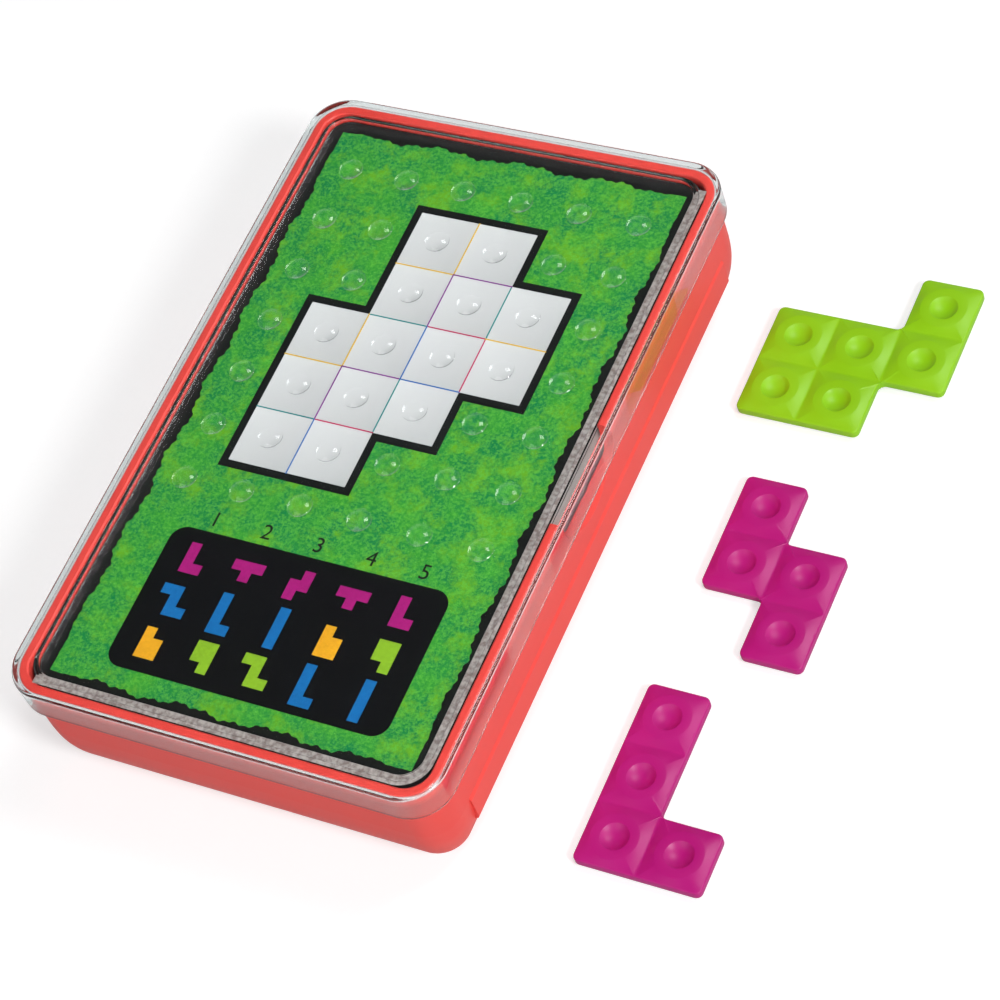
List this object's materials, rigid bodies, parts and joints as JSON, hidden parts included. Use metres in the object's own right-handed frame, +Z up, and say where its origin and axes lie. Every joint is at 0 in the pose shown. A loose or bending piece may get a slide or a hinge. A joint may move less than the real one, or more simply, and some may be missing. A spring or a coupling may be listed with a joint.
{
  "type": "travel puzzle game box",
  "caption": "Compact puzzle game case: red shell, clear lift-off lid with studs over a printed card, card pack and flat dimpled puzzle pieces.",
  "frame": {"origin": "centre of the red shell's flat bottom, on the table", "axes": "+X along the short side towards the loose pieces, +Y along the long side away from the user, +Z up"},
  "size_m": [0.162, 0.1739, 0.036],
  "materials": {
    "red_shell": "satin moulded polystyrene",
    "clear_plastic": "clear polished polystyrene",
    "printed_card": "printed, satin varnish",
    "card_stock": "cut edges of printed board",
    "leaflet_paper": "uncoated",
    "piece_magenta": "satin moulded",
    "piece_lime": "satin moulded",
    "piece_blue": "satin moulded",
    "piece_yellow": "satin moulded"
  },
  "bodies": {
    "box": {"box_shell": "red_shell"},
    "lid": {"clear_lid": "clear_plastic"},
    "card_in_play": {"puzzle_card": "printed_card"},
    "card_pack": {"spare_card_01": "card_stock", "spare_card_02": "card_stock", "spare_card_03": "card_stock", "spare_card_04": "card_stock", "spare_card_05": "card_stock", "spare_card_06": "card_stock", "spare_card_07": "card_stock", "spare_card_08": "card_stock", "spare_card_09": "card_stock", "spare_card_10": "card_stock", "spare_card_11": "card_stock", "spare_card_12": "card_stock", "rules_leaflet": "leaflet_paper"},
    "bar_blue": {"piece_bar_blue": "piece_blue"},
    "tee_magenta": {"piece_tee_magenta": "piece_magenta"},
    "twig_blue": {"piece_twig_blue": "piece_blue"},
    "flag_yellow": {"piece_flag_yellow": "piece_yellow"},
    "hook_blue": {"piece_hook_blue": "piece_blue"},
    "zed_blue": {"piece_zed_blue": "piece_blue"},
    "stair_lime": {"piece_stair_lime": "piece_lime"},
    "block_lime": {"piece_block_lime": "piece_lime"},
    "step_magenta": {"piece_step_magenta": "piece_magenta"},
    "ell_magenta": {"piece_ell_magenta": "piece_magenta"}
  },
  "joints": [
    {"name": "lid_lift", "type": "slide", "parent": "box", "child": "lid", "axis": [0, 0, 1], "range_m": [0, 0.09]},
    {"name": "card_in_play_lift", "type": "slide", "parent": "box", "child": "card_in_play", "axis": [0, 0, 1], "range_m": [0, 0.0675]},
    {"name": "card_pack_lift", "type": "slide", "parent": "box", "child": "card_pack", "axis": [0, 0, 1], "range_m": [0, 0.045]},
    {"name": "bar_blue_lift", "type": "slide", "parent": "box", "child": "bar_blue", "axis": [0, 0, 1], "range_m": [0, 0.0324]},
    {"name": "tee_magenta_lift", "type": "slide", "parent": "box", "child": "tee_magenta", "axis": [0, 0, 1], "range_m": [0, 0.0324]},
    {"name": "twig_blue_lift", "type": "slide", "parent": "box", "child": "twig_blue", "axis": [0, 0, 1], "range_m": [0, 0.0324]},
    {"name": "flag_yellow_lift", "type": "slide", "parent": "box", "child": "flag_yellow", "axis": [0, 0, 1], "range_m": [0, 0.0324]},
    {"name": "hook_blue_lift", "type": "slide", "parent": "box", "child": "hook_blue", "axis": [0, 0, 1], "range_m": [0, 0.0324]},
    {"name": "zed_blue_lift", "type": "slide", "parent": "box", "child": "zed_blue", "axis": [0, 0, 1], "range_m": [0, 0.0324]},
    {"name": "stair_lime_lift", "type": "slide", "parent": "box", "child": "stair_lime", "axis": [0, 0, 1], "range_m": [0, 0.0324]},
    {"name": "block_lime_lift", "type": "slide", "parent": "box", "child": "block_lime", "axis": [0, 0, 1], "range_m": [0, 0.04]},
    {"name": "step_magenta_lift", "type": "slide", "parent": "box", "child": "step_magenta", "axis": [0, 0, 1], "range_m": [0, 0.04]},
    {"name": "ell_magenta_lift", "type": "slide", "parent": "box", "child": "ell_magenta", "axis": [0, 0, 1], "range_m": [0, 0.04]}
  ],
  "couplings": [
    {"joint": "card_in_play_lift", "follows": "lid_lift", "ratio": 0.75},
    {"joint": "card_pack_lift", "follows": "lid_lift", "ratio": 0.5},
    {"joint": "bar_blue_lift", "follows": "lid_lift", "ratio": 0.36},
    {"joint": "tee_magenta_lift", "follows": "lid_lift", "ratio": 0.36},
    {"joint": "twig_blue_lift", "follows": "lid_lift", "ratio": 0.36},
    {"joint": "flag_yellow_lift", "follows": "lid_lift", "ratio": 0.36},
    {"joint": "hook_blue_lift", "follows": "lid_lift", "ratio": 0.36},
    {"joint": "zed_blue_lift", "follows": "lid_lift", "ratio": 0.36},
    {"joint": "stair_lime_lift", "follows": "lid_lift", "ratio": 0.36}
  ]
}
